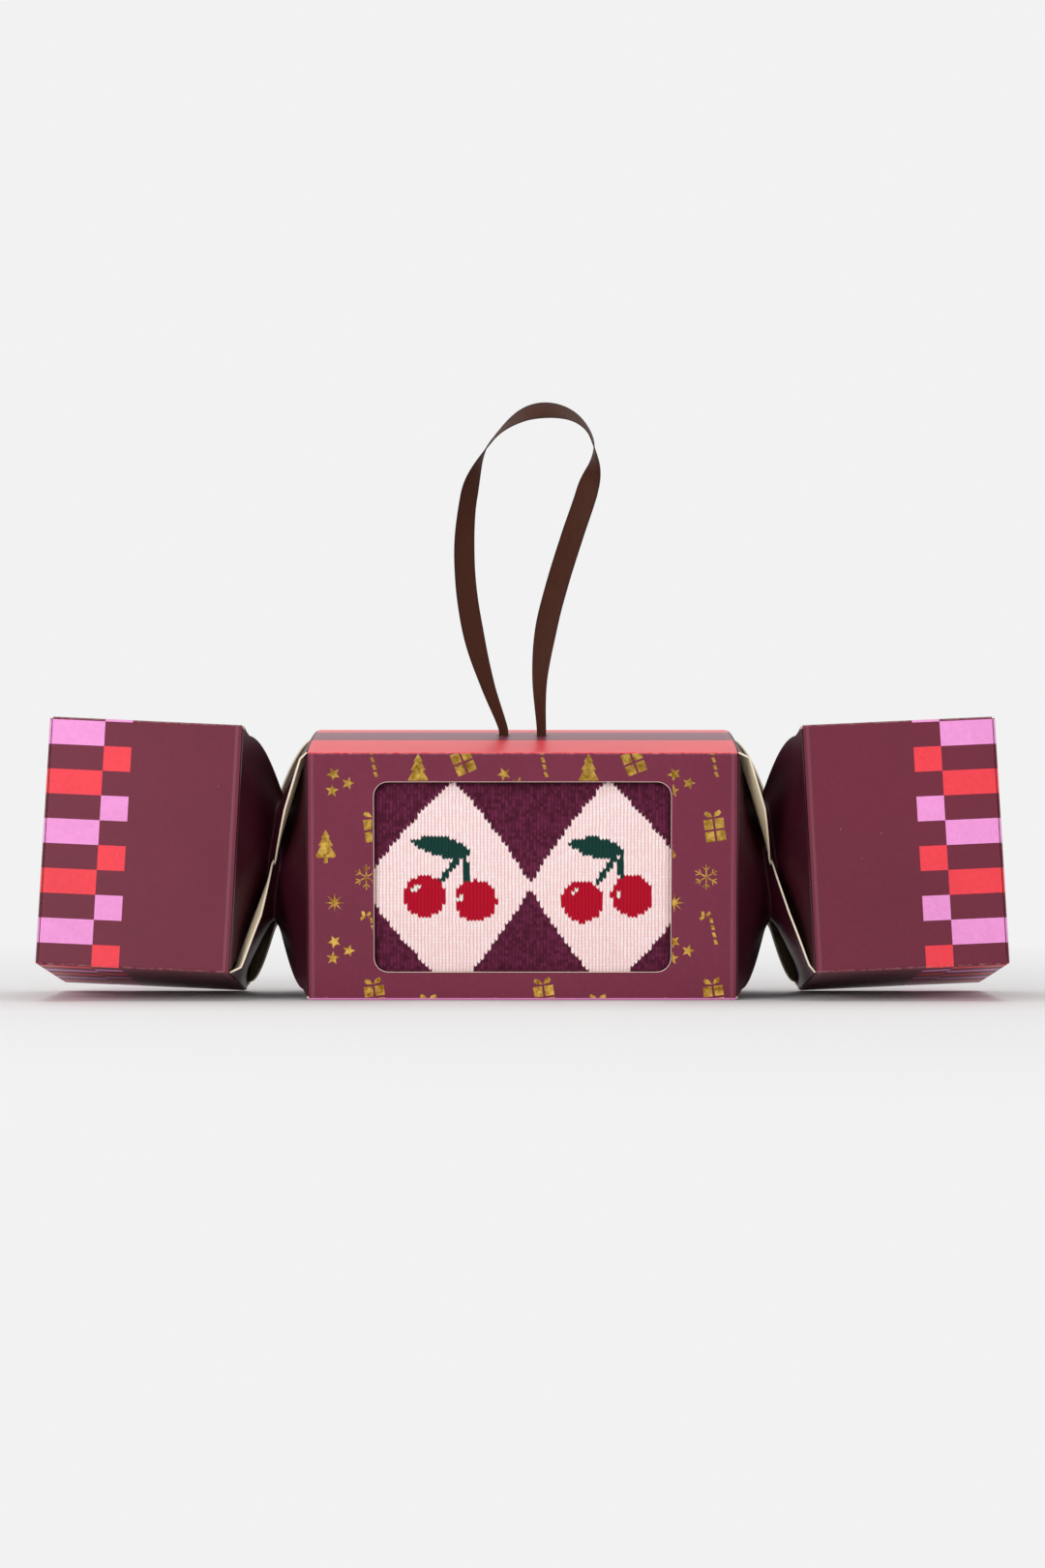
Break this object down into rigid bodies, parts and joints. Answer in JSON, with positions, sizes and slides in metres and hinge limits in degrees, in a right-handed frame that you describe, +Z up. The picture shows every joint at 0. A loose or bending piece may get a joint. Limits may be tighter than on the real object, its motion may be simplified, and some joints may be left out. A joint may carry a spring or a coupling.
{
  "type": "christmas cracker",
  "caption": "Folded board gift cracker: a square windowed middle box with folded socks, twisted slit necks, square end boxes with tuck lids, and a ribbon hanging loop.",
  "frame": {"origin": "on the floor under the middle of the cracker", "axes": "+X along the cracker, to the right seen from the window side; -Y out of the window; +Z up, as it stands"},
  "size_m": [0.2726, 0.0772, 0.171],
  "materials": {
    "printed_board": "coated paperboard, satin, printed plum",
    "plain_board": "unprinted cream side of the board, matt",
    "sock_knit": "plain knitted cotton, matt",
    "grey_card": "plain grey card, matt",
    "brown_satin": "woven satin ribbon, soft sheen"
  },
  "bodies": {
    "centre": {"centre_sleeve": "printed_board", "sock_front": "sock_knit", "sock_back": "sock_knit", "sock_card": "grey_card", "ribbon_knot": "brown_satin", "left_neck_strip_front": "printed_board", "left_neck_strip_top": "printed_board", "left_neck_strip_back": "printed_board", "left_neck_strip_bottom": "printed_board", "right_neck_strip_front": "printed_board", "right_neck_strip_top": "printed_board", "right_neck_strip_back": "printed_board", "right_neck_strip_bottom": "printed_board"},
    "ribbon": {"ribbon_loop": "brown_satin"},
    "left_end": {"left_end_sleeve": "printed_board"},
    "left_lid": {"left_lid": "printed_board"},
    "left_tongue": {"left_tuck_tongue": "plain_board"},
    "left_dust_flap_top": {"left_dust_flap_top": "plain_board"},
    "left_dust_flap_bottom": {"left_dust_flap_bottom": "plain_board"},
    "right_end": {"right_end_sleeve": "printed_board"},
    "right_lid": {"right_lid": "printed_board"},
    "right_tongue": {"right_tuck_tongue": "plain_board"},
    "right_dust_flap_top": {"right_dust_flap_top": "plain_board"},
    "right_dust_flap_bottom": {"right_dust_flap_bottom": "plain_board"}
  },
  "joints": [
    {"name": "ribbon_swing", "type": "hinge", "parent": "centre", "child": "ribbon", "pos_m": [0, -0.00415, 0.07511], "axis": [1, 0, 0], "range_deg": [-75, 75], "stiffness_Nm_per_rad": 0.003},
    {"name": "left_neck_twist", "type": "hinge", "parent": "centre", "child": "left_end", "pos_m": [-0.0806, 0, 0.03864], "axis": [1, 0, 0], "range_deg": [-12, 12], "stiffness_Nm_per_rad": 0.5, "deforming": ["left_neck_strip_front", "left_neck_strip_top", "left_neck_strip_back", "left_neck_strip_bottom"]},
    {"name": "left_lid_hinge", "type": "hinge", "parent": "left_end", "child": "left_lid", "pos_m": [-0.13422, 0.03438, 0.03712], "axis": [-0.0451, -0.1132, -0.9925], "range_deg": [0, 120]},
    {"name": "left_tongue_crease", "type": "hinge", "parent": "left_lid", "child": "left_tongue", "pos_m": [-0.13357, -0.03338, 0.04481], "axis": [-0.0451, -0.1132, -0.9925], "range_deg": [-72, 0]},
    {"name": "left_top_flap_crease", "type": "hinge", "parent": "left_end", "child": "left_dust_flap_top", "pos_m": [-0.1317, 0.00387, 0.07494], "axis": [0.0051, -0.9936, 0.1131], "range_deg": [0, 65], "stiffness_Nm_per_rad": 0.002},
    {"name": "left_bottom_flap_crease", "type": "hinge", "parent": "left_end", "child": "left_dust_flap_bottom", "pos_m": [-0.13479, -0.00387, 0.00705], "axis": [-0.0051, 0.9936, -0.1131], "range_deg": [0, 65], "stiffness_Nm_per_rad": 0.002},
    {"name": "right_neck_twist", "type": "hinge", "parent": "centre", "child": "right_end", "pos_m": [0.0806, 0, 0.03864], "axis": [1, 0, 0], "range_deg": [-12, 12], "stiffness_Nm_per_rad": 0.5, "deforming": ["right_neck_strip_front", "right_neck_strip_top", "right_neck_strip_back", "right_neck_strip_bottom"]},
    {"name": "right_lid_hinge", "type": "hinge", "parent": "right_end", "child": "right_lid", "pos_m": [0.13422, 0.03438, 0.03712], "axis": [-0.0451, 0.1132, 0.9925], "range_deg": [0, 120]},
    {"name": "right_tongue_crease", "type": "hinge", "parent": "right_lid", "child": "right_tongue", "pos_m": [0.13357, -0.03338, 0.04481], "axis": [-0.0451, 0.1132, 0.9925], "range_deg": [-72, 0]},
    {"name": "right_top_flap_crease", "type": "hinge", "parent": "right_end", "child": "right_dust_flap_top", "pos_m": [0.1317, 0.00387, 0.07494], "axis": [0.0051, 0.9936, -0.1131], "range_deg": [0, 65], "stiffness_Nm_per_rad": 0.002},
    {"name": "right_bottom_flap_crease", "type": "hinge", "parent": "right_end", "child": "right_dust_flap_bottom", "pos_m": [0.13479, -0.00387, 0.00705], "axis": [-0.0051, -0.9936, 0.1131], "range_deg": [0, 65], "stiffness_Nm_per_rad": 0.002}
  ],
  "couplings": [
    {"joint": "left_tongue_crease", "follows": "left_lid_hinge", "ratio": -0.6},
    {"joint": "right_tongue_crease", "follows": "right_lid_hinge", "ratio": -0.6}
  ]
}
